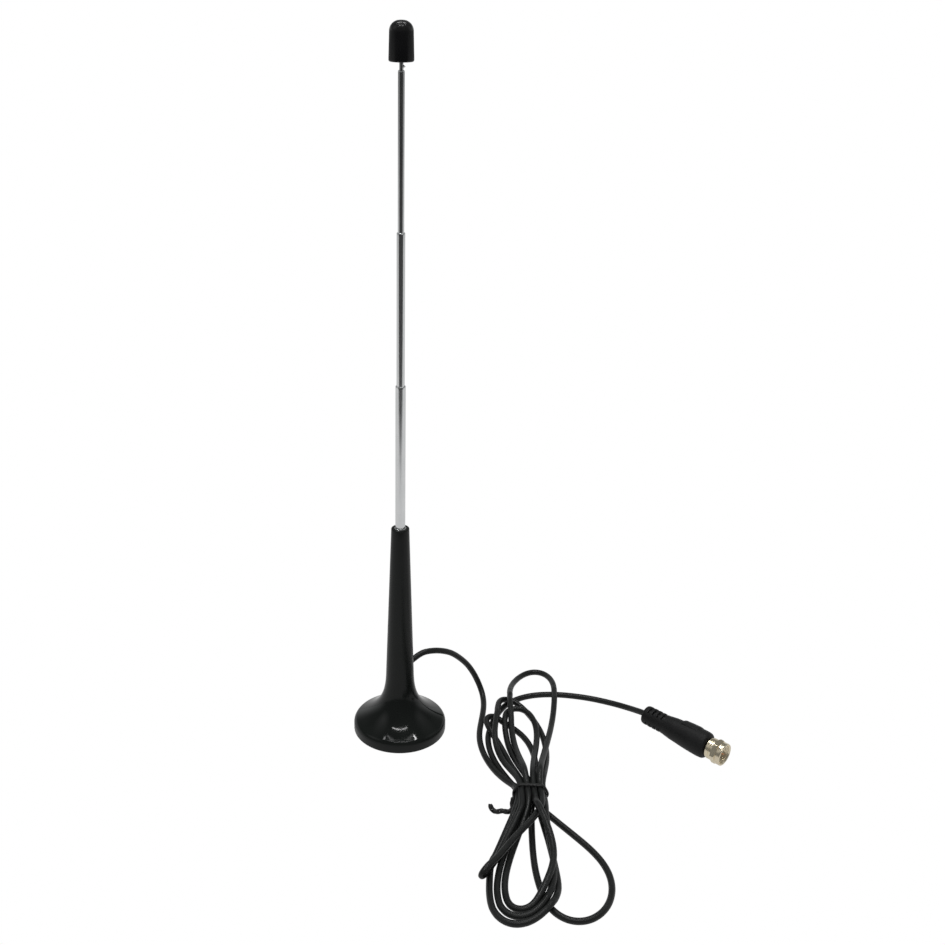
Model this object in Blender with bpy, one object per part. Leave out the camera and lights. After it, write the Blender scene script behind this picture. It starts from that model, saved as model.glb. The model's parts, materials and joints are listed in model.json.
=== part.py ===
"""Telescopic whip antenna on a weighted magnetic foot, with a moulded F plug on a coiled and tied coax lead.

Metres, +Z up, origin under the middle of the foot. Every length below is in millimetres and goes through MM.
"""
import math

import bmesh
import bpy
import numpy as np
from mathutils import Matrix, Vector

MM = 0.001

# foot and mast moulding
RIM_R, RIM_Z, RIM_EDGE = 24.6, 0.5, 0.8
SHOULDER_R, SHOULDER_Z, DISH_SLOPE = 3.2, 4.5, 33.0
FLARE = ((22.1, 7.7), (11.5, 14.3), (7.9, 20.0), (7.38, 34.0))
MAST_TOP_Z, MAST_TOP_R = 120.2, 4.6
BORE_R, FLOOR_TOP, FLOOR_BOTTOM, SCREW_HOLE_R = 3.15, 39.9, 38.0, 1.75
POCKET_R, POCKET_Z = 4.8, 30.0
# stack under the foot
PAD_R, PAD_TOP = 21.6, 1.3
MAGNET_R, MAGNET_HOLE_R, MAGNET_Z = 19.2, 4.0, (1.6, 4.6)
YOKE_R, YOKE_Z = 19.2, (4.9, 5.9)
# telescopic sections: outer radius, wall, foot and mouth heights with the whip pulled out
WALL = 0.3
TUBES = {
    "outer_tube": (3.0, 40.2, 120.5),
    "whip_tube_lower": (2.5, 114.9, 196.5),
    "whip_tube_middle": (2.0, 190.9, 271.5),
    "whip_tube_upper": (1.5, 265.9, 343.8),
}
MOUTH_GAP, NECK_STEP, NECK_LENGTH, SLEEVE_GAP = 0.06, 0.25, 4.6, 0.05
ROD_R, ROD_Z, ROD_NECK_R = 0.92, (272.0, 359.0), 0.65
BARB_Z, BARB_REACH, BARB_R = 345.3, 1.8, 0.88
CAP_Z, CAP_R, CAP_TOP_R, CAP_BORE_R = (347.5, 364.9), 5.7, 5.4, 1.0
# lead
CABLE_R = 1.6
EXIT_POINT = Vector((3.7, 6.38, 35.6))
EXIT_WAY = Vector((0.74, 0.52, 0.42)).normalized()
# plug, measured along its own axis from the back of the boot
PLUG_BACK = Vector((133.2, -0.9, 8.62))
PLUG_WAY = Vector((35.3, -34.8, -1.83)).normalized()
BOOT_LENGTH, NUT_FROM, NUT_TO = 39.6, 40.1, 49.6
# bundle tie
TIE_Y, TIE_R = -66.0, 0.7


def material(name, colour, metallic, roughness):
    made = bpy.data.materials.new(name)
    made.use_nodes = True
    shader = made.node_tree.nodes["Principled BSDF"]
    shader.inputs["Base Color"].default_value = (*colour, 1.0)
    shader.inputs["Metallic"].default_value = metallic
    shader.inputs["Roughness"].default_value = roughness
    return made


def add(name, verts, faces, colour=(0.02, 0.02, 0.02), metallic=0.0, roughness=0.5, matrix=None):
    """A closed mesh, its points in millimetres, turned to face outwards."""
    mesh = bpy.data.meshes.new(name)
    place = matrix or Matrix()
    mesh.from_pydata([(place @ Vector(v)) * MM for v in verts], [], faces)
    shaped = bmesh.new()
    shaped.from_mesh(mesh)
    bmesh.ops.recalc_face_normals(shaped, faces=shaped.faces)
    if shaped.calc_volume(signed=True) < 0:
        bmesh.ops.reverse_faces(shaped, faces=shaped.faces)
    for face in shaped.faces:
        face.smooth = True
    shaped.to_mesh(mesh)
    shaped.free()
    obj = bpy.data.objects.new(name, mesh)
    bpy.context.scene.collection.objects.link(obj)
    mesh.materials.append(material(name, colour, metallic, roughness))
    return obj


def lathe(profile, segments, arc=360.0, start=0.0):
    """Vertices and faces of a profile turned about Z. Points on the axis close the ends; a loop off it makes a ring."""
    closed = profile[0][0] > 1e-6
    whole = arc >= 360.0
    turns = segments if whole else segments + 1
    verts, rows = [], []
    for r, z in profile:
        if r < 1e-6:
            rows.append([len(verts)] * turns)
            verts.append((0.0, 0.0, z))
            continue
        rows.append(list(range(len(verts), len(verts) + turns)))
        for k in range(turns):
            a = math.radians(start + arc * k / segments)
            verts.append((r * math.cos(a), r * math.sin(a), z))
    faces = []
    pairs = len(rows) if closed else len(rows) - 1
    for i in range(pairs):
        one, two = rows[i], rows[(i + 1) % len(rows)]
        for k in range(segments):
            m = (k + 1) % turns
            ring = [one[k], one[m], two[m], two[k]]
            kept = [v for j, v in enumerate(ring) if v != ring[j - 1]]
            if len(kept) > 2:
                faces.append(kept)
    if not whole:
        faces.append([row[0] for row in rows])
        faces.append([row[-1] for row in reversed(rows)])
    return verts, faces


def turned(name, profile, segments, colour, metallic, roughness, matrix=None, arc=360.0, start=0.0):
    verts, faces = lathe(profile, segments, arc, start)
    return add(name, verts, faces, colour, metallic, roughness, matrix)


def boolean(target, operation, verts, faces, matrix=None):
    """Joins or cuts the target with a helper solid, then applies it and drops the helper."""
    helper = add("helper", verts, faces, matrix=matrix)
    step = target.modifiers.new(operation.lower(), "BOOLEAN")
    step.operation, step.solver, step.object = operation, "EXACT", helper
    bpy.context.view_layer.update()
    shaped = bpy.data.meshes.new_from_object(target.evaluated_get(bpy.context.evaluated_depsgraph_get()))
    target.modifiers.clear()
    old, target.data = target.data, shaped
    name = old.name
    bpy.data.meshes.remove(old)
    shaped.name = name
    while len(shaped.materials) > 1:
        shaped.materials.pop()
    bpy.data.objects.remove(helper)


def axis_frame(origin, way, up=Vector((0, 0, 1))):
    """Matrix whose Z runs along way and whose X points as nearly up as it can."""
    z = way.normalized()
    x = (up - z * up.dot(z)).normalized()
    y = z.cross(x)
    return Matrix.Translation(origin) @ Matrix((x, y, z)).transposed().to_4x4()


def bezier(points, count):
    a, b, c, d = (Vector(p) for p in points)
    steps = [k / count for k in range(count + 1)]
    return [tuple((1 - t) ** 3 * a + 3 * (1 - t) ** 2 * t * b + 3 * (1 - t) * t * t * c + t**3 * d) for t in steps]


def smooth_path(points, spacing):
    """Centripetal Catmull-Rom curve through the points, resampled at an even spacing."""
    p = np.array(points, float)
    p = np.vstack([2 * p[0] - p[1], p, 2 * p[-1] - p[-2]])
    out = []
    for i in range(1, len(p) - 2):
        knots = [0.0]
        for k in range(3):
            knots.append(knots[-1] + math.sqrt(np.linalg.norm(p[i + k] - p[i + k - 1])))
        t = np.linspace(knots[1], knots[2], 24, endpoint=False)[:, None]
        row = [p[i - 1 + k] for k in range(4)]
        for level in (1, 2, 3):
            row = [
                (knots[k + level] - t) / (knots[k + level] - knots[k]) * row[k]
                + (t - knots[k]) / (knots[k + level] - knots[k]) * row[k + 1]
                for k in range(4 - level)
            ]
        out.append(row[0])
    dense = np.vstack([*out, p[-2:-1]])
    along = np.concatenate([[0], np.cumsum(np.linalg.norm(np.diff(dense, axis=0), axis=1))])
    count = max(2, int(round(along[-1] / spacing)))
    marks = np.linspace(0, along[-1], count + 1)
    return np.stack([np.interp(marks, along, column) for column in dense.T], 1)


def sweep(path, section, closed=False, twist=0.0):
    """A section (list of (u, v) in mm) carried along a path without rolling, plus twist degrees per point."""
    path = np.array(path, float)
    ahead = np.roll(path, -1, 0) - path
    behind = path - np.roll(path, 1, 0)
    if not closed:
        ahead[-1], behind[0] = behind[-1], ahead[0]
    ways = ahead / np.linalg.norm(ahead, axis=1)[:, None] + behind / np.linalg.norm(behind, axis=1)[:, None]
    ways /= np.linalg.norm(ways, axis=1)[:, None]
    side = Vector((0, 0, 1)).cross(Vector(ways[0]))
    side = side.normalized() if side.length > 0.1 else Vector((1, 0, 0))
    sides = [side]
    for k in range(1, len(path)):
        turn = Vector(ways[k - 1]).rotation_difference(Vector(ways[k]))
        sides.append((turn @ sides[-1]).normalized())
    roll = 0.0
    if closed:
        last = Vector(ways[-1]).rotation_difference(Vector(ways[0])) @ sides[-1]
        roll = math.atan2(last.cross(sides[0]).dot(Vector(ways[0])), last.dot(sides[0])) / len(path)
    verts, faces, n = [], [], len(section)
    for k, (centre, way) in enumerate(zip(path, ways)):
        u = sides[k]
        v = Vector(way).cross(u)
        a = math.radians(twist) * k + roll * k
        u, v = u * math.cos(a) + v * math.sin(a), v * math.cos(a) - u * math.sin(a)
        verts += [tuple(Vector(centre) + u * s + v * t) for s, t in section]
    rings = len(path)
    for k in range(rings if closed else rings - 1):
        for j in range(n):
            m = (j + 1) % n
            after = (k + 1) % rings
            faces.append([k * n + j, k * n + m, after * n + m, after * n + j])
    if not closed:
        faces += [list(range(n))[::-1], [(rings - 1) * n + j for j in range(n)]]
    return verts, faces


def circle(radius, sides):
    return [(radius * math.cos(math.tau * k / sides), radius * math.sin(math.tau * k / sides)) for k in range(sides)]


# ---------------------------------------------------------------- foot and mast


def mast_radius(z):
    r0, z0 = FLARE[-1]
    return r0 + (MAST_TOP_R - r0) * (z - z0) / (MAST_TOP_Z - z0)


def build_foot():
    outer = [(RIM_R - RIM_EDGE, RIM_Z), (RIM_R, RIM_Z + RIM_EDGE)]
    for k in range(7):
        a = math.radians((90 - DISH_SLOPE) * k / 6)
        outer.append((RIM_R - SHOULDER_R + SHOULDER_R * math.cos(a), SHOULDER_Z + SHOULDER_R * math.sin(a)))
    outer += bezier([outer[-1], *FLARE[1:]], 12)[1:]
    outer += [(mast_radius(z), z) for z in (60.0, 90.0)]
    outer += [(MAST_TOP_R, MAST_TOP_Z - 0.4), (MAST_TOP_R - 0.4, MAST_TOP_Z)]
    inner = [(BORE_R + 0.15, MAST_TOP_Z), (BORE_R, MAST_TOP_Z - 0.15), (BORE_R, FLOOR_TOP), (SCREW_HOLE_R, FLOOR_TOP)]
    inner += [(SCREW_HOLE_R, FLOOR_BOTTOM), (POCKET_R, FLOOR_BOTTOM), (POCKET_R, POCKET_Z), (5.6, 25.0)]
    inner += [(7.2, 19.0), (11.0, 12.4), (16.0, 8.2), (19.6, 6.3), (19.6, 1.6), (22.0, 1.6), (22.0, RIM_Z)]
    shell = turned("foot_and_mast", outer + inner, 48, (0.012, 0.013, 0.012), 0.0, 0.42)
    hole = [(0, -4.8), (CABLE_R + 0.3, -4.8), (CABLE_R + 0.3, 6.0), (0, 6.0)]
    boolean(shell, "DIFFERENCE", *lathe(hole, 20), axis_frame(EXIT_POINT, EXIT_WAY))

    pad = [(0, 0), (PAD_R - 0.4, 0), (PAD_R, 0.4), (PAD_R, PAD_TOP), (0, PAD_TOP)]
    turned("foot_pad", pad, 40, (0.02, 0.02, 0.02), 0.0, 0.9)
    low, high = MAGNET_Z
    ring = [(MAGNET_HOLE_R, low), (MAGNET_R - 0.4, low), (MAGNET_R, low + 0.4), (MAGNET_R, high), (MAGNET_HOLE_R, high)]
    turned("ring_magnet", ring, 40, (0.06, 0.06, 0.065), 0.0, 0.6)
    low, high = YOKE_Z
    plate = [(2.5, low), (YOKE_R, low), (YOKE_R, high), (2.5, high)]
    turned("yoke_plate", plate, 40, (0.55, 0.56, 0.58), 1.0, 0.35)


# ---------------------------------------------------------------- telescopic whip


def rolled_mouth(radius, inner, opening, top):
    """Outside then inside of a tube end rolled in to an opening, from below the roll and back."""
    mid = (radius + opening) / 2
    outside = [(radius, top - 1.0), (radius - 0.06, top - 0.45), (mid + 0.03, top - 0.05), (opening + 0.1, top)]
    return outside + [(opening, top - 0.15), (opening, top - 0.7), (inner, top - 1.1)]


def tube_profile(radius, low, top, opening, necked):
    inner = radius - WALL
    mouth = rolled_mouth(radius, inner, opening, top)
    if not necked:
        return [(inner, low), (radius, low), *mouth]
    neck, neck_in = radius - NECK_STEP, inner - NECK_STEP
    foot = [(neck_in, low), (neck + 0.18, low), (neck + 0.18, low + 0.3), (neck, low + 0.4), (neck, low + NECK_LENGTH)]
    return [*foot, (radius, low + NECK_LENGTH + 0.4), *mouth, (inner, low + 5.1), (neck_in, low + 4.7)]


def build_whip():
    names = list(TUBES)
    chrome = ((0.86, 0.87, 0.88), 1.0, 0.08)
    for k, name in enumerate(names):
        radius, low, top = TUBES[name]
        following = TUBES[names[k + 1]][0] if k + 1 < len(names) else ROD_R
        turned(name, tube_profile(radius, low, top, following + MOUTH_GAP, k > 0), 24, *chrome)
        if k:
            outside = TUBES[names[k - 1]][0] - WALL - SLEEVE_GAP
            sleeve(name.replace("whip_tube", "friction_sleeve"), radius - NECK_STEP, outside, low)

    bottom, top = ROD_Z
    rod = [(0, bottom), (ROD_NECK_R + 0.15, bottom), (ROD_NECK_R + 0.15, bottom + 0.3), (ROD_NECK_R, bottom + 0.4)]
    rod += [(ROD_NECK_R, bottom + NECK_LENGTH), (ROD_R, bottom + NECK_LENGTH + 0.4), (ROD_R, top - 0.4)]
    rod += [(ROD_R - 0.3, top), (0, top)]
    made = turned("tip_rod", rod, 20, *chrome)
    barb = lathe([(0, 0.3), (BARB_R, 0.3), (0.08, BARB_REACH), (0, BARB_REACH)], 12)
    boolean(made, "UNION", *barb, axis_frame(Vector((0, 0, BARB_Z)), Vector((1, 0, 0))))
    upper = TUBES["whip_tube_upper"][0]
    sleeve("friction_sleeve_tip", ROD_NECK_R, upper - WALL - SLEEVE_GAP, bottom)

    low, high = CAP_Z
    cap = [(CAP_BORE_R, low), (CAP_R - 0.5, low), (CAP_R - 0.12, low + 0.15), (CAP_R, low + 0.55)]
    cap += [(CAP_TOP_R, high - 4.6)]
    for a in (15, 30, 45, 60, 75):
        turn = math.radians(a)
        cap.append((CAP_TOP_R - 4.6 + 4.6 * math.cos(turn), high - 4.6 + 4.5 * math.sin(turn)))
    cap += [(0.8, high - 0.05), (0, high), (0, top + 0.3), (CAP_BORE_R, top + 0.3)]
    turned_cap(cap)

    plug_top = TUBES["outer_tube"][1] + 4.0
    low = TUBES["outer_tube"][1] + 0.1
    inner = TUBES["outer_tube"][0] - WALL - 0.05
    turned("tube_end_plug", [(1.72, low), (inner, low), (inner, plug_top), (1.72, plug_top)], 24,
           (0.78, 0.62, 0.33), 1.0, 0.3)


def turned_cap(profile):
    """The cap's profile starts and ends in its blind bore, so the axis points sit in the middle of the list."""
    verts, faces = lathe_blind(profile, 32)
    add("tip_cap", verts, faces, (0.012, 0.012, 0.012), 0.0, 0.25)


def lathe_blind(profile, segments):
    """A lathe for a loop that touches the axis at two following points, the crown and the bottom of a blind bore."""
    verts, rows = [], []
    for r, z in profile:
        count = 1 if r < 1e-6 else segments
        rows.append(list(range(len(verts), len(verts) + count)))
        for k in range(count):
            a = math.tau * k / segments
            verts.append((r * math.cos(a), r * math.sin(a), z))
    faces = []
    for i, one in enumerate(rows):
        two = rows[(i + 1) % len(rows)]
        if len(one) == 1 and len(two) == 1:
            continue
        for k in range(segments):
            m = (k + 1) % segments
            ring = [one[k % len(one)], one[m % len(one)], two[m % len(two)], two[k % len(two)]]
            faces.append([v for j, v in enumerate(ring) if v != ring[j - 1]])
    return verts, faces


def sleeve(name, neck, outside, low):
    """Split bronze spring sleeve that rides on a tube's neck and rubs in the next tube out."""
    profile = [(neck + 0.05, low + 0.48), (outside - 0.08, low + 0.48), (outside, low + 0.8)]
    profile += [(outside, low + 4.1), (outside - 0.08, low + 4.4), (neck + 0.05, low + 4.4)]
    turned(name, profile, 22, (0.72, 0.45, 0.2), 1.0, 0.35, arc=330.0, start=15.0)


# ---------------------------------------------------------------- feed inside the mast


def build_feed():
    steel = ((0.6, 0.6, 0.6), 1.0, 0.3)
    screw = [(0, 34.75), (2.2, 34.75), (2.6, 35.1), (2.6, 36.35), (1.45, 36.35), (1.45, 43.2), (1.1, 43.6), (0, 43.6)]
    made = turned("fixing_screw", screw, 24, *steel)
    slot = [(x, y, z) for x in (-3, 3) for y in (-0.3, 0.3) for z in (34.0, 35.3)]
    box = [(0, 1, 3, 2), (4, 6, 7, 5), (0, 4, 5, 1), (2, 3, 7, 6), (0, 2, 6, 4), (1, 5, 7, 3)]
    boolean(made, "DIFFERENCE", slot, box)
    turned("lock_washer", [(1.7, 36.5), (2.6, 36.5), (2.6, 36.95), (1.7, 36.95)], 24, *steel, arc=340.0, start=100.0)

    lug = turned("solder_lug", [(1.72, 37.2), (3.0, 37.2), (3.0, 37.6), (1.72, 37.6)], 24, (0.75, 0.7, 0.55), 1.0, 0.3)
    tail = Matrix.Rotation(math.radians(200), 4, "Z")
    strap = [(2.6, 37.22), (3.75, 37.22), (3.75, 34.4), (4.15, 34.4), (4.15, 37.58), (2.6, 37.58)]
    verts = [(r, y, z) for y in (-0.9, 0.9) for r, z in strap]
    faces = [list(range(6))[::-1], list(range(6, 12))] + [[k, (k + 1) % 6, 6 + (k + 1) % 6, 6 + k] for k in range(6)]
    boolean(lug, "UNION", verts, faces, tail)

    jacket_end = EXIT_POINT - EXIT_WAY * 4.0
    core = jacket_end - EXIT_WAY * 0.3
    stub = core - EXIT_WAY * 2.4
    add("mast_dielectric", *sweep([core, stub], circle(0.75, 12)), (0.9, 0.9, 0.88), 0.0, 0.5)
    tail_way = tail @ Vector((1, 0, 0))
    wire = [stub - EXIT_WAY * 0.3, stub - EXIT_WAY * 1.0, Vector((-3.1, 1.0, 32.3)), Vector((-3.5, -0.4, 32.9))]
    wire += [tail_way * 3.3 + Vector((0, 0, 34.2)), tail_way * 3.3 + Vector((0, 0, 36.6))]
    path = smooth_path([tuple(p) for p in wire], 0.9)
    add("feed_conductor", *sweep(path, circle(0.22, 8)), (0.8, 0.45, 0.25), 1.0, 0.3)
    braid = [(2.2, 2.9, 27.6), (1.6, 1.8, 25.0), (0.6, 0.4, 20.0), (1.0, -1.0, 13.0), (3.4, -1.6, 8.4), (6.8, -1.8, 6.8)]
    path = smooth_path(braid, 1.6)
    add("braid_pigtail", *sweep(path, circle(0.55, 8)), (0.75, 0.72, 0.68), 1.0, 0.4)


# ---------------------------------------------------------------- coax lead


def level(n):
    """Height of a strand laid n deep over others before it settles."""
    return CABLE_R + 3.4 * n


def pass_waist(x, row, upward):
    """The three points where a strand is held in its place under the tie."""
    z = (3.3, 6.45, 9.2)[row]
    held = [(x, TIE_Y - 6.0, z, 0.6), (x, TIE_Y, z, 1.0), (x, TIE_Y + 6.0, z, 0.6)]
    return held if upward else held[::-1]


def strand(points, height, hold=0.0):
    return [(x, y, height, hold) for x, y in points]


def lead_route():
    """The lead from the mast to the plug: five lobes below the tie and four above it, joined through the waist.

    Each point is x, y, z and how firmly the strand is held there, from 0 for loose to 1 for fixed.
    """
    away = [(*(EXIT_POINT + EXIT_WAY * d), 1.0) for d in (-4.0, -2.0, 2.0, 4.5)]
    drop = [(12.0, 11.8, 39.5), (17.0, 14.4, 39.2), (22.6, 18.0, 37.0), (28.0, 22.0, 33.2), (33.0, 26.0, 27.5)]
    drop += [(37.6, 29.4, 21.0), (41.6, 31.4, 13.6), (44.6, 31.0, 7.0), (46.2, 28.0, 3.3), (46.7, 23.0, 1.8)]
    incoming = [(46.4, 17.0), (45.6, 10.0), (44.4, 2.5), (43.0, -5.0), (42.3, -12.0), (42.8, -19.0), (44.4, -28.0)]
    incoming += [(47.2, -37.0), (50.8, -46.0), (54.8, -54.0)]
    outer_down = [(56.0, -76.0, 4.4, 0.0), (53.0, -85.0, 2.4, 0.0)]
    outer_left = [(48.8, -97.5), (44.4, -110.0), (41.4, -120.0), (40.0, -130.0), (41.2, -140.5), (45.2, -148.5)]
    outer_left += [(51.0, -151.5)]
    outer_right = [(58.0, -149.5), (64.3, -143.5), (69.0, -134.0), (71.0, -122.0), (71.4, -109.0), (70.6, -96.0)]
    outer_right += [(69.0, -82.0)]
    hook = [(69.0, -50.0), (70.3, -36.0), (69.8, -25.0), (67.3, -14.0), (63.8, -7.0), (59.5, -2.5), (55.5, 2.0)]
    hook += [(52.0, 5.0), (48.4, 5.8), (45.2, 3.6), (45.0, -0.5), (47.2, -7.0), (50.4, -14.5), (54.0, -23.0)]
    hook += [(57.2, -34.0), (60.0, -48.0)]
    between_down = [(58.6, -79.0, 4.4, 0.0), (55.6, -87.0, 2.6, 0.0)]
    between_left = [(52.2, -95.0), (47.4, -110.0), (44.4, -124.0), (43.4, -134.0), (45.9, -142.5), (52.0, -146.8)]
    between_right = [(59.0, -144.4), (65.0, -138.0), (69.0, -128.0), (71.0, -114.0), (71.0, -100.0), (70.2, -86.0)]
    back = [(73.2, -50.0), (75.8, -35.0), (77.4, -22.0), (76.4, -10.0), (73.4, 0.0), (70.2, 8.5), (66.2, 15.5)]
    back += [(62.4, 20.0), (58.2, 21.8), (54.8, 18.8), (54.2, 11.0), (53.2, 3.0), (50.9, -7.0), (49.9, -18.0)]
    back += [(51.6, -30.0), (54.8, -41.0), (57.8, -52.0)]
    pin = [(59.0, -79.0, 8.8), (54.5, -89.0, 7.0), (50.0, -99.0, 5.4), (45.2, -109.7, 4.5), (41.4, -116.8, 4.4)]
    pin += [(38.8, -121.0, 4.5), (36.9, -124.2, 5.2), (36.0, -126.0, 7.2), (37.2, -125.8, 9.4), (40.6, -121.2, 10.0)]
    pin += [(44.4, -116.4, 9.6), (51.0, -106.0, 9.4), (58.3, -95.8, 9.6), (64.8, -87.0, 10.0), (69.0, -77.5, 10.0)]
    tall = [(71.2, -50.0), (74.2, -36.0), (77.2, -22.0), (80.2, -10.0), (83.2, 3.0), (85.6, 17.0), (86.9, 30.0)]
    tall += [(86.5, 41.0), (83.6, 49.5), (78.0, 53.5), (72.0, 49.5), (66.2, 40.5), (62.2, 29.0), (60.4, 17.5)]
    tall += [(59.8, 5.0), (59.6, -8.0), (60.0, -22.0), (61.2, -37.0), (62.4, -51.0)]
    inner_down = [(61.2, -77.0, 7.0, 0.0), (59.0, -84.0, 4.4, 0.0), (56.6, -91.0, 2.4, 0.0)]
    inner_left = [(52.4, -104.0), (49.0, -116.0), (46.9, -127.0), (47.5, -136.0), (52.0, -142.2)]
    inner_right = [(57.8, -141.4), (63.2, -136.6), (67.6, -129.0), (70.4, -119.0), (71.2, -108.0), (69.8, -96.0)]
    inner_right += [(67.4, -82.0)]
    arch = [(67.4, -50.0), (69.2, -36.0), (71.6, -23.0), (73.0, -11.0), (73.0, -1.0), (70.3, 8.4), (65.2, 12.8)]
    arch += [(60.2, 11.2), (57.4, 5.0), (56.8, -7.0), (57.8, -23.0), (59.8, -37.0), (62.2, -51.0)]
    wide = [(63.6, -84.0), (63.0, -95.0), (62.5, -108.0), (62.9, -120.0), (64.6, -131.0), (67.0, -140.4)]
    wide += [(71.2, -146.3), (78.4, -149.2), (86.4, -146.0), (92.6, -138.6), (95.9, -129.0), (96.3, -119.4)]
    wide += [(94.4, -110.8), (90.4, -102.4), (85.4, -94.6), (80.2, -87.4), (75.4, -80.6), (71.0, -74.6)]
    across = [(67.2, -70.0, 3.3, 0.6), (64.2, -66.0, 3.3, 1.0), (61.2, -62.0, 3.3, 0.6)]
    outgoing = [(57.4, -54.5), (53.4, -45.5), (50.2, -36.0), (47.8, -26.0), (47.4, -16.0), (49.6, -5.0)]
    outgoing += [(52.6, 4.5), (55.6, 12.5), (59.2, 18.6), (64.2, 23.0), (71.0, 26.8), (79.0, 28.6), (89.0, 28.4)]
    outgoing += [(100.0, 26.4), (110.0, 23.2)]
    rise = [(118.5, 18.0, 2.7, 0.7), (125.8, 10.7, 4.7, 1.0), (130.2, 3.8, 7.2, 1.0)]
    ahead = [(*(PLUG_BACK + PLUG_WAY * d), 1.0) for d in (0.0, 10.0, 20.0, 30.0)]
    route = away + [(*point, 1.0) for point in drop] + strand(incoming, level(0))
    route += pass_waist(58.4, 1, False) + outer_down + strand(outer_left, level(0))
    route += strand(outer_right, level(1))
    route += pass_waist(67.8, 1, True) + strand(hook, level(1))
    route += pass_waist(61.5, 1, False) + between_down + strand(between_left, level(0))
    route += strand(between_right, level(2))
    route += pass_waist(71.0, 1, True) + strand(back, level(2))
    route += pass_waist(59.9, 2, False) + [(*point, 0.85) for point in pin]
    route += pass_waist(69.5, 2, True) + strand(tall, level(4))
    route += pass_waist(63.1, 2, False) + inner_down + strand(inner_left, level(0))
    route += strand(inner_right, level(3))
    route += pass_waist(66.3, 2, True) + strand(arch, level(3))
    route += pass_waist(64.6, 1, False) + strand(wide, level(0))
    return route + across + strand(outgoing, level(0)) + rise + ahead


def settle(route, spacing, rounds=600):
    """Lets the laid lead sink onto the table and onto itself, keeping near its plan and a strand apart."""
    laid = smooth_path(route, spacing)
    plan, give = laid[:, :3], 1 - np.clip(laid[:, 3:], 0, 1)
    apart = 2 * CABLE_R + 0.18
    skip = int(7 / spacing)
    p = plan.copy()
    for turn in range(rounds):
        cooling = max(0.0, 1 - turn / (0.8 * rounds))
        if turn % 12 == 0:
            near = []
            for start in range(0, len(p), 256):
                gap = np.linalg.norm(p[start : start + 256, None, :] - p[None, :, :], axis=2)
                one, two = np.nonzero(gap < apart + 1.2)
                one = one + start
                kept = two - one > skip
                near.append(np.stack([one[kept], two[kept]], 1))
            pairs = np.vstack(near)
        pull = np.zeros_like(p)
        pull[:, 2] -= 0.07 * cooling
        pull[:, :2] += 0.15 * (plan[:, :2] - p[:, :2]) * max(cooling, 0.06)
        for stride in (1, 4):
            bend = np.zeros_like(p)
            bend[stride:-stride] = (p[: -2 * stride] + p[2 * stride :]) / 2 - p[stride:-stride]
            stiff = bend.copy()
            stiff[stride:-stride] -= (bend[: -2 * stride] + bend[2 * stride :]) / 2
            pull += 0.1 * stiff
            pull[:, 2] += 0.1 * bend[:, 2] / stride
        p += pull * give + 0.3 * (1 - give) * (plan - p)
        for _ in range(3 if cooling else 8):
            one, two = pairs.T
            way = p[two] - p[one]
            gap = np.linalg.norm(way, axis=1)
            close = gap < apart
            one, two, way, gap = one[close], two[close], way[close], gap[close]
            push = way * ((apart - gap) / np.maximum(gap, 1e-6))[:, None] * 0.5
            shift, hits = np.zeros_like(p), np.zeros(len(p))
            np.add.at(shift, one, -push)
            np.add.at(shift, two, push)
            np.add.at(hits, one, 1)
            np.add.at(hits, two, 1)
            p += shift / np.maximum(hits, 1)[:, None] * 1.3 * np.maximum(give, 0.1)
            p[:, 2] = np.maximum(p[:, 2], CABLE_R)
    return p


def thinned(path, sag=0.09, longest=16.0):
    """Indices of the path points that keep the curve within sag millimetres."""
    kept, at = [0], 0
    while at < len(path) - 1:
        best = at + 1
        for to in range(at + 2, len(path)):
            chord = path[to] - path[at]
            length = np.linalg.norm(chord)
            off = np.linalg.norm(np.cross(path[at + 1 : to] - path[at], chord / length), axis=1).max()
            if off > sag or length > longest:
                break
            best = to
        kept.append(best)
        at = best
    return kept


def build_lead():
    spacing = 1.3
    path = settle(lead_route(), spacing)
    ring = path[thinned(path)]
    add("coax_lead", *sweep(ring, circle(CABLE_R, 8)), (0.015, 0.015, 0.015), 0.0, 0.4)
    return path


def hull(points):
    points = sorted(points)

    def half(run):
        out = []
        for x, y in run:
            while len(out) > 1 and (out[-1][0] - out[-2][0]) * (y - out[-2][1]) <= (
                (out[-1][1] - out[-2][1]) * (x - out[-2][0])
            ):
                out.pop()
            out.append((x, y))
        return out[:-1]

    return half(points) + half(points[::-1])


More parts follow.
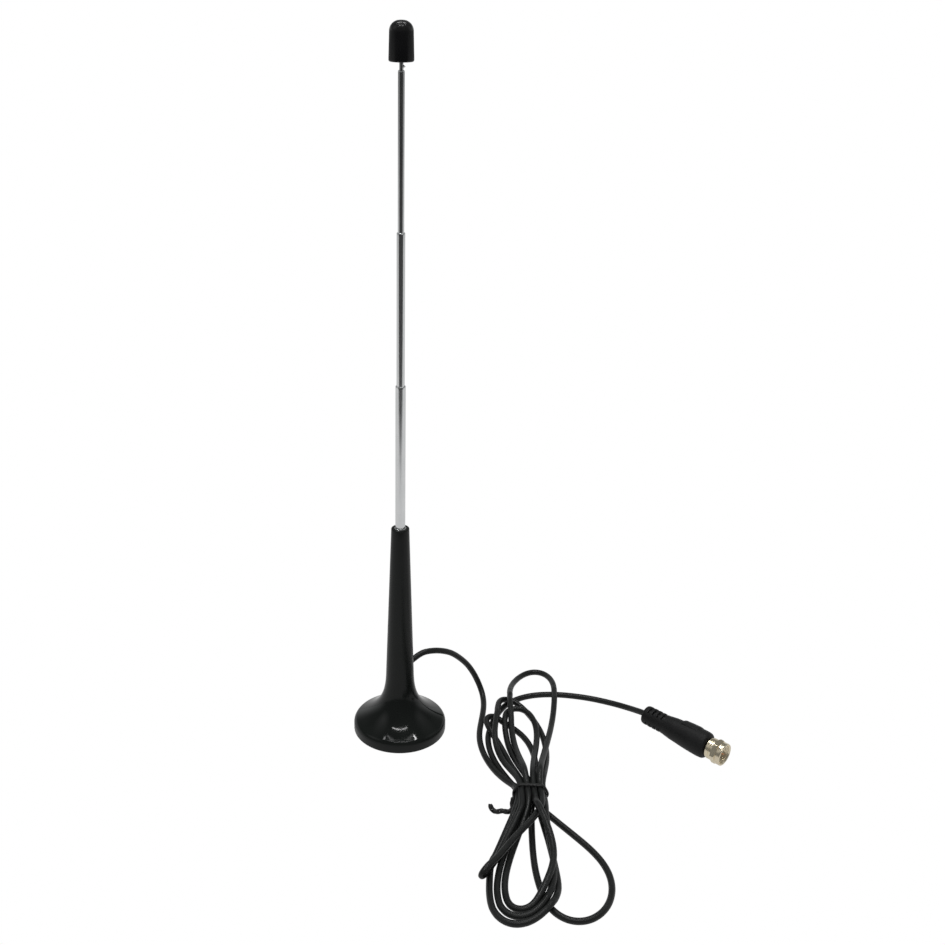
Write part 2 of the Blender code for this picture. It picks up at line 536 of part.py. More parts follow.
def build_tie(path):
    """A wire tie drawn round the waist of the bundle, its ends twisted into a short tail."""
    before, after = path[:-1], path[1:]
    crossing = (before[:, 1] - TIE_Y) * (after[:, 1] - TIE_Y) <= 0
    centres = before[crossing][:, [0, 2]]
    reach = CABLE_R + 0.25 + TIE_R
    rim = [(x + reach * math.cos(a), z + reach * math.sin(a)) for x, z in centres for a in np.arange(0, math.tau, 0.2)]
    loop = np.array(hull(rim))
    loop = np.vstack([loop, loop[:1]])
    along = np.concatenate([[0], np.cumsum(np.linalg.norm(np.diff(loop, axis=0), axis=1))])
    marks = np.linspace(0, along[-1], 25)[:-1]
    round_path = [(np.interp(m, along, loop[:, 0]), TIE_Y, np.interp(m, along, loop[:, 1])) for m in marks]
    tie = add("twist_tie", *sweep(round_path, circle(TIE_R, 8), closed=True), (0.015, 0.015, 0.015), 0.0, 0.6)
    left = min(round_path, key=lambda q: q[0] + 0.6 * q[2])
    tail = [(left[0] + 0.2, TIE_Y, left[2]), (left[0] - 0.9, TIE_Y - 3.0, 2.6), (left[0] - 0.9, TIE_Y - 6.2, 2.3)]
    tail += [(left[0] - 3.2, TIE_Y - 8.3, 2.1), (left[0] - 6.4, TIE_Y - 7.8, 2.2), (left[0] - 9.2, TIE_Y - 8.2, 2.1)]
    tail += [(left[0] - 11.2, TIE_Y - 6.9, 2.8), (left[0] - 11.9, TIE_Y - 5.2, 4.0)]
    pair = [(1.6 * math.cos(a) * (0.62 + 0.38 * abs(math.cos(a))), 0.95 * math.sin(a)) for a in
            (math.tau * k / 10 for k in range(10))]
    boolean(tie, "UNION", *sweep(smooth_path(tail, 0.9), pair, twist=30.0))


# ---------------------------------------------------------------- F plug


def build_plug():
    frame = axis_frame(PLUG_BACK, PLUG_WAY)
    outside = [(4.2, 0.0), (4.85, 0.5), (5.1, 1.5), (5.2, 6.0), (5.2, 13.3), (5.6, 15.6), (6.0, 18.2), (6.25, 21.5)]
    outside += [(6.6, 25.0), (6.9, 28.5), (7.1, 32.0), (7.2, 35.5), (7.1, 37.6), (6.7, 39.1), (5.8, BOOT_LENGTH)]
    inside = [(3.6, BOOT_LENGTH), (3.6, 26.7), (CABLE_R + 0.2, 26.7), (CABLE_R + 0.2, 0.0)]
    boot = turned("plug_boot", outside + inside, 32, (0.01, 0.01, 0.01), 0.0, 0.55, frame)
    verts, faces = [], []
    for side in (-22.0, 158.0):
        for k in range(4):
            s = 2.9 + 2.75 * k
            slot = [(4.0, s), (7.0, s), (7.0, s + 1.4), (4.0, s + 1.4)]
            more, skin = lathe(slot, 8, 118.0, side - 59.0)
            faces += [[v + len(verts) for v in face] for face in skin]
            verts += more
    boolean(boot, "DIFFERENCE", verts, faces, frame)
    pad = [(5.0, 22.5), (6.9, 22.6), (7.1, 23.3), (7.4, 27.5), (7.52, 31.5), (7.45, 32.5), (7.15, 33.0), (5.0, 33.1)]
    boolean(boot, "UNION", *lathe(pad, 8, 84.0, -72.0), frame)

    nickel = ((0.72, 0.68, 0.58), 1.0, 0.22)
    body = [(3.45, 27.0), (3.45, 39.9), (3.9, 40.0), (3.9, 41.7), (4.6, 41.8), (4.6, 42.9), (3.2, 43.0), (3.2, 44.2)]
    body += [(2.75, 44.2), (2.75, 41.2), (1.3, 41.2), (1.3, 31.0), (CABLE_R + 0.2, 31.0), (CABLE_R + 0.2, 27.0)]
    turned("plug_body", body, 28, *nickel, frame)

    nut = [(4.9, NUT_FROM), (5.3, NUT_FROM + 0.3), (5.3, 41.3), (5.65, 41.6), (5.65, 46.9), (6.05, 47.1)]
    nut += [(6.1, NUT_TO - 0.4), (5.75, NUT_TO), (5.2, NUT_TO), (4.7, NUT_TO - 0.7)]
    for k in range(4):
        s = NUT_TO - 1.2 - 1.25 * k
        nut += [(4.35, s), (4.68, s - 0.4), (4.35, s - 0.8)]
    nut += [(4.35, 43.6), (4.75, 43.3), (4.75, 41.5), (4.0, 41.4), (4.0, NUT_FROM)]
    ring = turned("coupling_nut", nut, 28, *nickel, frame)
    flats, low, high = 5.7, 44.0, 46.7
    corner = flats / math.cos(math.radians(30))
    verts = [(corner * math.cos(math.radians(60 * k)), corner * math.sin(math.radians(60 * k)), s)
             for s in (low, high) for k in range(6)]
    faces = [list(range(6))[::-1], list(range(6, 12))] + [[k, (k + 1) % 6, 6 + (k + 1) % 6, 6 + k] for k in range(6)]
    band = add("band", verts, faces, matrix=frame)
    crown = [(0, low - 0.5), (5.8, low - 0.5), (6.5, low + 0.4), (6.5, high - 0.4), (5.8, high + 0.5), (0, high + 0.5)]
    boolean(band, "INTERSECT", *lathe(crown, 36, start=5.0), frame)
    boolean(band, "DIFFERENCE", *lathe([(0, 40), (5.3, 40), (5.3, 52), (0, 52)], 28), frame)
    grown = [tuple(v.co / MM) for v in band.data.vertices], [list(f.vertices) for f in band.data.polygons]
    bpy.data.objects.remove(band)
    boolean(ring, "UNION", *grown)

    turned("plug_insulator", [(0.8, 41.5), (2.5, 41.5), (2.5, 44.0), (0.8, 44.0)], 20, (0.9, 0.9, 0.88), 0.0, 0.4, frame)
    turned("plug_dielectric", [(0.55, 30.4), (0.95, 30.4), (0.95, 41.0), (0.55, 41.0)], 16,
           (0.9, 0.9, 0.88), 0.0, 0.5, frame)
    turned("centre_pin", [(0, 31.0), (0.45, 31.0), (0.45, 48.4), (0.15, 48.9), (0, 48.9)], 12,
           (0.8, 0.5, 0.3), 1.0, 0.25, frame)


def main():
    for obj in list(bpy.data.objects):
        bpy.data.objects.remove(obj)
    build_foot()
    build_whip()
    build_feed()
    build_tie(build_lead())
    build_plug()


main()
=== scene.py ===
"""Looks of a telescopic whip antenna on a round magnetic foot, with a tied coax lead and a moulded F plug.

Lengths are in millimetres unless a name ends in _M, and go through MM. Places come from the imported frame.
"""
import json
import math

import bmesh
import bpy
import numpy as np
from mathutils import Matrix, Vector

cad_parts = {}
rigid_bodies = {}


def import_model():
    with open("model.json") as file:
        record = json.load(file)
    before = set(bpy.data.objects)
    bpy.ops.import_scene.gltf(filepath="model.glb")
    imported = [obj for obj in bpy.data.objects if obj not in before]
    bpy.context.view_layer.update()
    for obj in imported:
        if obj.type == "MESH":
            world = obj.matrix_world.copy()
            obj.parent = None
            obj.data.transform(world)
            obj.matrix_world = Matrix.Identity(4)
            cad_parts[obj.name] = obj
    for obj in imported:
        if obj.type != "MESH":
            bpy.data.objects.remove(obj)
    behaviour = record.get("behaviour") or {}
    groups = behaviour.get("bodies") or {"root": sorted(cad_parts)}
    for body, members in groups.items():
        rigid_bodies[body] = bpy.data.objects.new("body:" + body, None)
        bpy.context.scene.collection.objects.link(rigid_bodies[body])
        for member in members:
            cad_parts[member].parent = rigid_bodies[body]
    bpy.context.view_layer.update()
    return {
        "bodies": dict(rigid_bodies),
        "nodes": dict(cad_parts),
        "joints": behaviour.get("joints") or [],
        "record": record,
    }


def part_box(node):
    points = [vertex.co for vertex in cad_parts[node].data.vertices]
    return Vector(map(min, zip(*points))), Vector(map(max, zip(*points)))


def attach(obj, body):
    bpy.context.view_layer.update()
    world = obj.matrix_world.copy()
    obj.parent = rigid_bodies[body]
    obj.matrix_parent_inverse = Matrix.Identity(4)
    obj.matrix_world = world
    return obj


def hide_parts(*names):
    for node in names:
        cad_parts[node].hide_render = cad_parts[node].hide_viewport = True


MM = 0.001

# foot and mast moulding
SHOULDER_R, DISH_SLOPE, RIM_Z, SKIRT_TOP = 3.2, 33.0, 0.5, 4.5
FLARE = ((11.5, 14.3), (7.9, 20.0), (7.38, 34.0))
MAST_TOP_R, BORE_R, FLOOR_TOP, FLOOR_BOTTOM, SCREW_HOLE_R, POCKET_R = 4.6, 3.15, 39.9, 38.0, 1.75, 4.8
# telescopic sections
WALL, MOUTH_GAP, NECK_STEP, NECK_LENGTH = 0.3, 0.06, 0.25, 4.6
NECK_CONE, EDGE_SUPPORT = 0.4, 0.1
ROD_NECK_R, BARB_R, BARB_UNDER_CAP, CAP_BORE_R = 0.65, 0.88, 2.2, 1.0
# lead and plug
CABLE_R, PATH_STEP = 1.6, 1.1
TIE_REACH, TIE_RISE, TIE_SECTION, TAIL_STEP, TAIL_PITCH, TAIL_TWIST_R = 0.72, 0.7, (1.02, 0.56), 0.22, 7.4, 0.72
EXIT_POINT = Vector((3.7, 6.38, 35.6))
EXIT_WAY = Vector((0.74, 0.52, 0.42)).normalized()
BOOT_LENGTH, NUT_FROM, NUT_TO, PIN_END = 39.6, 40.1, 49.6, 48.9
SLOT_ROLL, SLOT_HALF_ARC, SLOT_FLOOR_R, SLOT_START, SLOT_PITCH, SLOT_WIDTH = -22.0, 59.0, 4.05, 2.9, 2.75, 1.35
GRIP_ROLL, GRIP_HALF_ARC, SEAM_HEIGHT, MOULD_SOFT = -30.0, 42.0, 0.05, 0.22
THREAD_PITCH, THREAD_DEPTH, THREAD_ROOT_R = 0.794, 0.36, 4.72


# ---------------------------------------------------------------- mesh helpers


def filleted(corners, steps=5):
    """A closed or axis-to-axis profile of (r, z) or (r, z, fillet) corners, its fillets as arcs."""
    out = []
    for k, corner in enumerate(corners):
        here = Vector(corner[:2])
        if len(corner) < 3:
            out.append(tuple(here))
            continue
        before = Vector(corners[k - 1][:2]) - here
        after = Vector(corners[(k + 1) % len(corners)][:2]) - here
        half = before.angle(after) / 2
        reach = min(corner[2] / math.tan(half), 0.48 * before.length, 0.48 * after.length)
        radius = reach * math.tan(half)
        centre = here + (before.normalized() + after.normalized()).normalized() * radius / math.sin(half)
        one = here + before.normalized() * reach - centre
        two = here + after.normalized() * reach - centre
        sweep_angle = one.angle(two)
        for j in range(steps + 1):
            t = j / steps
            way = (one * math.sin((1 - t) * sweep_angle) + two * math.sin(t * sweep_angle)) / math.sin(sweep_angle)
            out.append(tuple(centre + way))
    return out


def ring(radius, height, sides):
    """One row of a skin: a circle, or a single point on the axis."""
    if np.isscalar(radius) and radius < 1e-6:
        return [(0.0, 0.0, height)]
    angles = np.arange(sides) * math.tau / sides
    r = np.broadcast_to(radius, angles.shape)
    return list(zip(r * np.cos(angles), r * np.sin(angles), np.full(sides, height)))


def skin(rows, closed=True):
    """Vertices and faces over rows of points. A row of one point closes an end."""
    verts, index = [], []
    for row in rows:
        index.append(list(range(len(verts), len(verts) + len(row))))
        verts += row
    faces = []
    for k in range(len(rows) if closed else len(rows) - 1):
        one, two = index[k], index[(k + 1) % len(rows)]
        sides = max(len(one), len(two))
        if sides == 1:
            continue
        for j in range(sides):
            m = (j + 1) % sides
            quad = [one[j % len(one)], one[m % len(one)], two[m % len(two)], two[j % len(two)]]
            faces.append([v for i, v in enumerate(quad) if v != quad[i - 1]])
    return verts, faces


def lathe(profile, sides):
    return skin([ring(r, z, sides) for r, z in profile])


def make(name, shape, finish, matrix=None, sharp=38.0):
    """A mesh object from points in millimetres, facing out and shaded smooth up to the sharp angle."""
    verts, faces = shape
    place = np.array(matrix or Matrix())
    points = (np.array(verts, float) @ place[:3, :3].T + place[:3, 3]) * MM
    mesh = bpy.data.meshes.new(name)
    mesh.from_pydata(points.tolist(), [], faces)
    shaped = bmesh.new()
    shaped.from_mesh(mesh)
    bmesh.ops.recalc_face_normals(shaped, faces=shaped.faces)
    if shaped.calc_volume(signed=True) < 0:
        bmesh.ops.reverse_faces(shaped, faces=shaped.faces)
    shaped.to_mesh(mesh)
    shaped.free()
    mesh.shade_smooth()
    mesh.set_sharp_from_angle(angle=math.radians(sharp))
    mesh.materials.append(finish)
    obj = bpy.data.objects.new(name, mesh)
    bpy.context.scene.collection.objects.link(obj)
    return obj


def stand_for(obj, node, body):
    """The piece rides on the node's body and is shown in the node's place."""
    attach(obj, body)
    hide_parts(node)
    return obj


def join_solids(obj, other, operation):
    """Adds or cuts another solid and drops it."""
    step = obj.modifiers.new(operation.lower(), "BOOLEAN")
    step.operation, step.solver, step.object = operation, "EXACT", other
    bpy.context.view_layer.update()
    shaped = bpy.data.meshes.new_from_object(obj.evaluated_get(bpy.context.evaluated_depsgraph_get()))
    obj.modifiers.clear()
    obj.data = shaped
    while len(shaped.materials) > 1:
        shaped.materials.pop()
    shaped.polygons.foreach_set("material_index", [0] * len(shaped.polygons))
    shaped.shade_smooth()
    shaped.set_sharp_from_angle(angle=math.radians(38))
    bpy.data.objects.remove(other)
    return obj


def axis_frame(origin, way, up=Vector((0, 0, 1))):
    """Matrix whose Z runs along way and whose X points as nearly up as it can."""
    z = way.normalized()
    x = (up - z * up.dot(z)).normalized()
    return Matrix.Translation(origin) @ Matrix((x, z.cross(x), z)).transposed().to_4x4()


def bezier(points, count):
    a, b, c, d = (Vector(p) for p in points)
    steps = [k / count for k in range(count + 1)]
    return [tuple((1 - t) ** 3 * a + 3 * (1 - t) ** 2 * t * b + 3 * (1 - t) * t * t * c + t**3 * d) for t in steps]


def smooth_path(points, spacing):
    """Centripetal Catmull-Rom curve through the points, resampled at an even spacing."""
    p = np.array(points, float)
    p = np.vstack([2 * p[0] - p[1], p, 2 * p[-1] - p[-2]])
    out = []
    for i in range(1, len(p) - 2):
        knots = [0.0]
        for k in range(3):
            knots.append(knots[-1] + math.sqrt(np.linalg.norm(p[i + k] - p[i + k - 1])))
        t = np.linspace(knots[1], knots[2], 24, endpoint=False)[:, None]
        row = [p[i - 1 + k] for k in range(4)]
        for level in (1, 2, 3):
            row = [
                (knots[k + level] - t) / (knots[k + level] - knots[k]) * row[k]
                + (t - knots[k]) / (knots[k + level] - knots[k]) * row[k + 1]
                for k in range(4 - level)
            ]
        out.append(row[0])
    dense = np.vstack([*out, p[-2:-1]])
    along = np.concatenate([[0], np.cumsum(np.linalg.norm(np.diff(dense, axis=0), axis=1))])
    marks = np.linspace(0, along[-1], max(2, int(round(along[-1] / spacing))) + 1)
    return np.stack([np.interp(marks, along, column) for column in dense.T], 1)


def tangents(path):
    ways = np.gradient(path, axis=0)
    return ways / np.linalg.norm(ways, axis=1)[:, None]


def sweep(path, section, sides=None):
    """A closed skin of a section (u, v) carried along a path, level at first and then without rolling.

    A list of side vectors, one a point, turns the section's u towards them instead.
    """
    ways = tangents(path)
    rows = []
    side = Vector((0, 0, 1)).cross(Vector(ways[0])).normalized()
    for k, (centre, way) in enumerate(zip(path, ways)):
        way = Vector(way)
        if sides is not None:
            side = Vector(sides[k])
        elif k:
            side = Vector(ways[k - 1]).rotation_difference(way) @ side
        u = (side - way * side.dot(way)).normalized()
        v = way.cross(u)
        rows.append([tuple(Vector(centre) + u * s + v * t) for s, t in section])
    rows = [[tuple(path[0])], *rows, [tuple(path[-1])]]
    return skin(rows, closed=False)


def ellipse(wide, thick, sides):
    turns = [math.tau * k / sides for k in range(sides)]
    return [(wide * math.cos(a), thick * math.sin(a)) for a in turns]


def step_up(x, edge, soft):
    """0 below the edge, 1 above it, smooth over the soft width."""
    t = np.clip((np.asarray(x) - edge) / soft + 0.5, 0, 1)
    return t * t * (3 - 2 * t)


# ---------------------------------------------------------------- materials


class Nodes:
    """A small builder for one material's node tree."""

    def __init__(self, name):
        self.material = bpy.data.materials.new(name)
        self.material.use_nodes = True
        self.tree = self.material.node_tree
        self.shader = self.tree.nodes["Principled BSDF"]
        self.place = self.add("ShaderNodeTexCoord").outputs["Object"]

    def add(self, kind, **settings):
        node = self.tree.nodes.new(kind)
        for key, value in settings.items():
            if hasattr(node, key):
                setattr(node, key, value)
            else:
                node.inputs[key].default_value = value
        return node

    def link(self, output, target):
        self.tree.links.new(output, target)

    def noise(self, grain_mm, detail=3.0, stretch=None):
        """Noise whose lumps are about grain_mm across, drawn out along an axis by stretch."""
        made = self.add("ShaderNodeTexNoise", Scale=1.0 / (grain_mm * MM), Detail=detail)
        if stretch:
            pulled = self.add("ShaderNodeVectorMath", operation="MULTIPLY")
            self.link(self.place, pulled.inputs[0])
            pulled.inputs[1].default_value = stretch
            self.link(pulled.outputs[0], made.inputs["Vector"])
        else:
            self.link(self.place, made.inputs["Vector"])
        return made.outputs["Fac"]

    def spread(self, value, low, high, source=(0.3, 0.7)):
        """Maps a 0 to 1 value from the source range onto low to high."""
        made = self.add("ShaderNodeMapRange")
        self.link(value, made.inputs["Value"])
        for key, number in zip(("From Min", "From Max", "To Min", "To Max"), (*source, low, high)):
            made.inputs[key].default_value = number
        return made.outputs["Result"]

    def tint(self, value, dark, light):
        """A colour between two, by a 0 to 1 value."""
        mix = self.add("ShaderNodeMix", data_type="RGBA")
        self.link(value, mix.inputs["Factor"])
        mix.inputs[6].default_value = (*dark, 1)
        mix.inputs[7].default_value = (*light, 1)
        return mix.outputs[2]

    def bump(self, value, depth_mm, normal=None):
        made = self.add("ShaderNodeBump", Strength=1.0, Distance=depth_mm * MM)
        self.link(value, made.inputs["Height"])
        if normal is not None:
            self.link(normal, made.inputs["Normal"])
        return made.outputs["Normal"]


def plastic(name, dark, light, roughness, grain_mm, depth_mm, ior=1.46):
    """Moulded plastic: faint mottling in colour, a roughness that varies and a fine surface grain."""
    n = Nodes(name)
    broad, fine = n.noise(9.0), n.noise(grain_mm, 4.0)
    n.link(n.tint(n.spread(broad, 0, 1), dark, light), n.shader.inputs["Base Color"])
    n.link(n.spread(broad, *roughness), n.shader.inputs["Roughness"])
    n.link(n.bump(fine, depth_mm), n.shader.inputs["Normal"])
    n.shader.inputs["IOR"].default_value = ior
    return n.material


def metal(name, dark, light, roughness, stretch=None, grain_mm=0.5, depth_mm=0.0015):
    """Plated or bare metal: drawn or brushed streaks in its roughness and relief, and a slight change of tint."""
    n = Nodes(name)
    broad, fine = n.noise(6.0), n.noise(grain_mm, 5.0, stretch)
    n.link(n.tint(n.spread(broad, 0, 1), dark, light), n.shader.inputs["Base Color"])
    n.link(n.spread(fine, *roughness), n.shader.inputs["Roughness"])
    n.link(n.bump(fine, depth_mm), n.shader.inputs["Normal"])
    n.shader.inputs["Metallic"].default_value = 1.0
    return n.material


def foot_finish():
    """Black ABS: polished on the dish, satin up the mast and duller round the skirt."""
    n = Nodes("black_abs")
    axes = n.add("ShaderNodeSeparateXYZ")
    n.link(n.place, axes.inputs[0])
    height = axes.outputs["Z"]
    mast = n.spread(height, 0.08, 0.28, (0.012, 0.04))
    skirt = n.spread(height, 0.25, 0.0, (0.0056, 0.0066))
    both = n.add("ShaderNodeMath", operation="ADD")
    n.link(mast, both.inputs[0])
    n.link(skirt, both.inputs[1])
    uneven = n.spread(n.noise(7.0), -0.02, 0.03)
    total = n.add("ShaderNodeMath", operation="ADD")
    n.link(both.outputs[0], total.inputs[0])
    n.link(uneven, total.inputs[1])
    n.link(total.outputs[0], n.shader.inputs["Roughness"])
    n.link(n.tint(n.spread(n.noise(12.0), 0, 1), (0.0034, 0.0042, 0.0038), (0.0048, 0.0058, 0.0052)),
           n.shader.inputs["Base Color"])
    flow = n.bump(n.noise(8.0, 1.0, (1, 1, 0.35)), 0.008)
    n.link(n.bump(n.noise(0.4, 3.0), 0.0006, flow), n.shader.inputs["Normal"])
    n.shader.inputs["IOR"].default_value = 1.33
    return n.material


def chrome_finish():
    """Chromed tube: faint drawing lines along the length and a cool tint."""
    n = Nodes("chromed_brass")
    lines = n.noise(0.12, 3.0, (1, 1, 0.02))
    cloud = n.noise(11.0)
    n.link(n.tint(n.spread(cloud, 0, 1), (0.82, 0.835, 0.84), (0.88, 0.89, 0.895)), n.shader.inputs["Base Color"])
    n.link(n.spread(lines, 0.13, 0.22), n.shader.inputs["Roughness"])
    n.link(n.bump(lines, 0.0012), n.shader.inputs["Normal"])
    n.shader.inputs["Metallic"].default_value = 1.0
    return n.material


def jacket_finish():
    """Black PVC jacket: satin, with a faint lengthwise flow and soft lumps where the braid shows through."""
    n = Nodes("black_pvc_jacket")
    broad, fine = n.noise(14.0), n.noise(0.5, 4.0)
    n.link(n.tint(n.spread(broad, 0, 1), (0.0044, 0.0048, 0.0046), (0.007, 0.0076, 0.0073)),
           n.shader.inputs["Base Color"])
    n.link(n.spread(broad, 0.33, 0.45), n.shader.inputs["Roughness"])
    n.link(n.bump(fine, 0.0015, n.bump(n.noise(1.6, 2.0), 0.005)), n.shader.inputs["Normal"])
    n.shader.inputs["IOR"].default_value = 1.4
    return n.material


def finishes():
    brass_lines = (1, 1, 0.1)
    return {
        "abs": foot_finish(),
        "cap": plastic("gloss_cap", (0.004, 0.004, 0.0045), (0.006, 0.006, 0.0065), (0.2, 0.26), 0.8, 0.0004, 1.4),
        "pad": plastic("pad_rubber", (0.012, 0.012, 0.012), (0.022, 0.022, 0.021), (0.75, 0.92), 0.25, 0.02),
        "ferrite": plastic("ferrite", (0.035, 0.035, 0.038), (0.06, 0.06, 0.064), (0.55, 0.75), 0.3, 0.02),
        "chrome": chrome_finish(),
        "jacket": jacket_finish(),
        "tie": plastic("tie_pvc", (0.004, 0.004, 0.004), (0.007, 0.007, 0.007), (0.42, 0.55), 0.4, 0.006, 1.42),
        "boot": plastic(
            "boot_pvc", (0.0032, 0.0033, 0.0034), (0.005, 0.0051, 0.0053), (0.44, 0.58), 0.22, 0.004, 1.34
        ),
        "nickel": metal("warm_nickel", (0.84, 0.74, 0.55), (0.91, 0.82, 0.62), (0.22, 0.32), depth_mm=0.0004),
        "steel": metal("zinc_plated_steel", (0.5, 0.51, 0.53), (0.62, 0.63, 0.65), (0.25, 0.42)),
        "brass": metal("turned_brass", (0.72, 0.55, 0.27), (0.82, 0.65, 0.36), (0.2, 0.34), brass_lines),
        "bronze": metal("phosphor_bronze", (0.62, 0.36, 0.16), (0.74, 0.46, 0.22), (0.24, 0.4), brass_lines),
        "copper": metal("bare_copper", (0.78, 0.4, 0.22), (0.88, 0.5, 0.3), (0.18, 0.32)),
        "tinned": metal("tinned_copper", (0.66, 0.63, 0.58), (0.78, 0.75, 0.7), (0.25, 0.42), grain_mm=0.3),
        "polythene": plastic("white_polythene", (0.72, 0.72, 0.69), (0.8, 0.8, 0.78), (0.38, 0.5), 0.4, 0.004),
    }


# ---------------------------------------------------------------- foot and mast


def mast_radius(z, top):
    r0, z0 = FLARE[-1]
    return r0 + (MAST_TOP_R - r0) * (z - z0) / (top - z0)


def build_mast(finish):
    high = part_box("foot_and_mast")[1]
    rim, top = high.x / MM, high.z / MM
    profile = [(22.0, RIM_Z, 0.2), (rim, RIM_Z, 0.7), (rim, SKIRT_TOP)]
    for k in range(1, 25):
        a = math.radians((90 - DISH_SLOPE) * k / 24)
        profile.append((rim - SHOULDER_R + SHOULDER_R * math.cos(a), SKIRT_TOP + SHOULDER_R * math.sin(a)))
    profile += bezier([profile[-1], *FLARE], 60)[1:]
    profile += [(mast_radius(z, top), z) for z in np.arange(40.0, top - 2.0, 5.0)]
    profile += [(MAST_TOP_R, top, 0.45), (BORE_R, top, 0.2), (BORE_R, FLOOR_TOP), (SCREW_HOLE_R, FLOOR_TOP)]
    profile += [(SCREW_HOLE_R, FLOOR_BOTTOM), (POCKET_R, FLOOR_BOTTOM), (POCKET_R, 30.0), (5.6, 25.0), (7.2, 19.0)]
    profile += [(11.0, 12.4), (16.0, 8.2), (19.6, 6.3), (19.6, 1.6), (22.0, 1.6)]
    shell = make("mast_moulding", lathe(filleted(profile), 192), finish)
    hole = [(0, -4.8), (CABLE_R + 0.3, -4.8), (CABLE_R + 0.3, 6.0), (0, 6.0)]
    cutter = make("exit_cutter", lathe(hole, 40), finish, axis_frame(EXIT_POINT, EXIT_WAY))
    join_solids(shell, cutter, "DIFFERENCE")
    return stand_for(shell, "foot_and_mast", "foot")


# ---------------------------------------------------------------- telescopic whip


def mouth(radius, inner, opening, top):
    """A tube end rolled in to its opening: a full round lip, then a short land inside."""
    lip = []
    half = (radius - opening) / 2
    for k in range(9):
        a = math.radians(22.5 * k)
        lip.append((opening + half + half * math.cos(a), top - 0.5 + 0.5 * math.sin(a)))
    return [(radius, top - 1.2), *lip, (opening, top - 0.8), (inner, top - 1.15)]


def tube(node, body, opening, necked, finish):
    low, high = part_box(node)
    radius, bottom, top = high.x / MM, low.z / MM, high.z / MM
    inner = radius - WALL
    if necked:
        neck, neck_in = radius - NECK_STEP, radius - NECK_STEP - WALL
        start = [(neck_in, bottom), (neck + 0.18, bottom, 0.06), (neck + 0.18, bottom + 0.3), (neck, bottom + 0.4)]
        start += [(neck, bottom + NECK_LENGTH), (radius, bottom + NECK_LENGTH + NECK_CONE)]
        start += [(radius, bottom + NECK_LENGTH + NECK_CONE + EDGE_SUPPORT)]
        end = [(inner, bottom + NECK_LENGTH + 0.5), (neck_in, bottom + NECK_LENGTH + 0.1)]
    else:
        start, end = [(inner, bottom), (radius, bottom)], []
    profile = start + mouth(radius, inner, opening, top) + end
    made = make(node + "_chromed", lathe(filleted(profile), 72), finish)
    return stand_for(made, node, body)


def build_whip(f):
    rod_low, rod_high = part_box("tip_rod")
    rod_r = -rod_low.x / MM
    names = ["outer_tube", "whip_tube_lower", "whip_tube_middle", "whip_tube_upper"]
    bodies = ["foot", "lower_section", "middle_section", "upper_section"]
    widths = [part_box(name)[1].x / MM for name in names[1:]] + [rod_r]
    for k, (name, body) in enumerate(zip(names, bodies)):
        tube(name, body, widths[k] + MOUTH_GAP, k > 0, f["chrome"])

    bottom, top = rod_low.z / MM, rod_high.z / MM
    neck = ROD_NECK_R
    profile = [(0, bottom), (neck + 0.15, bottom, 0.05), (neck + 0.15, bottom + 0.3), (neck, bottom + 0.4)]
    profile += [(neck, bottom + NECK_LENGTH), (rod_r, bottom + NECK_LENGTH + NECK_CONE)]
    profile += [(rod_r, bottom + NECK_LENGTH + NECK_CONE + EDGE_SUPPORT)]
    profile += [(rod_r, top - 0.5), (rod_r, top, 0.3), (0, top)]
    rod = make("tip_rod_chromed", lathe(filleted(profile), 48), f["chrome"])
    cap_low, cap_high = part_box("tip_cap")
    reach = rod_high.x / MM
    barb = [(0, 0.3), (BARB_R, 0.3), (BARB_R * 0.92, 0.95, 0.2), (0.12, reach), (0, reach)]
    height = cap_low.z / MM - BARB_UNDER_CAP
    frame = axis_frame(Vector((0, 0, height)), Vector((1, 0, 0)))
    join_solids(rod, make("barb", lathe(filleted(barb), 32), f["chrome"], frame), "UNION")
    stand_for(rod, "tip_rod", "tip_section")
    build_cap(cap_low, cap_high, top, f["cap"])


def build_cap(low, high, rod_top, finish):
    foot_r, bottom, top = high.x / MM, low.z / MM, high.z / MM
    shoulder, dome = foot_r - 0.3, 4.6
    profile = [(CAP_BORE_R, bottom), (foot_r - 0.12, bottom, 0.5), (foot_r, bottom + 0.9)]
    for k in range(25):
        a = math.radians(84 * k / 24)
        profile.append((shoulder - dome + dome * math.cos(a), top - dome + (dome - 0.06) * math.sin(a)))
    profile += [(0.6, top - 0.02), (0, top), (0, rod_top + 0.3), (CAP_BORE_R, rod_top + 0.3)]
    made = make("tip_cap_gloss", lathe(filleted(profile), 128), finish)
    stand_for(made, "tip_cap", "tip_section")


# ---------------------------------------------------------------- lead and tie


def ring_centres(node):
    """The centre line of a CAD tube, ring by ring from its end furthest along +X."""
    shaped = bmesh.new()
    shaped.from_mesh(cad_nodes[node].data)
    bmesh.ops.remove_doubles(shaped, verts=shaped.verts, dist=1e-6)
    far = max(v.co.x for v in shaped.verts)
    row = [v for v in shaped.verts if v.co.x > far - 2 * CABLE_R * MM]
    seen, centres = set(row), []
    while row:
        centres.append(np.mean([v.co for v in row], axis=0) / MM)
        after = {e.other_vert(v) for v in row for e in v.link_edges} - seen
        seen |= after
        row = list(after)
    shaped.free()
    return np.array(centres)


def eased(path, radius, rounds):
    """The path with its bends tighter than a radius opened out a little, and the rest left where it is."""
    p = path.copy()
    for _ in range(rounds):
        off = (p[:-2] + p[2:]) / 2 - p[1:-1]
        step = np.linalg.norm(p[2:] - p[:-2], axis=1) / 2
        tight = np.linalg.norm(off, axis=1) > step**2 / (2 * radius)
        near = np.convolve(tight, np.ones(5), "same") > 0
        p[1:-1] += 0.5 * off * near[:, None]
    return p


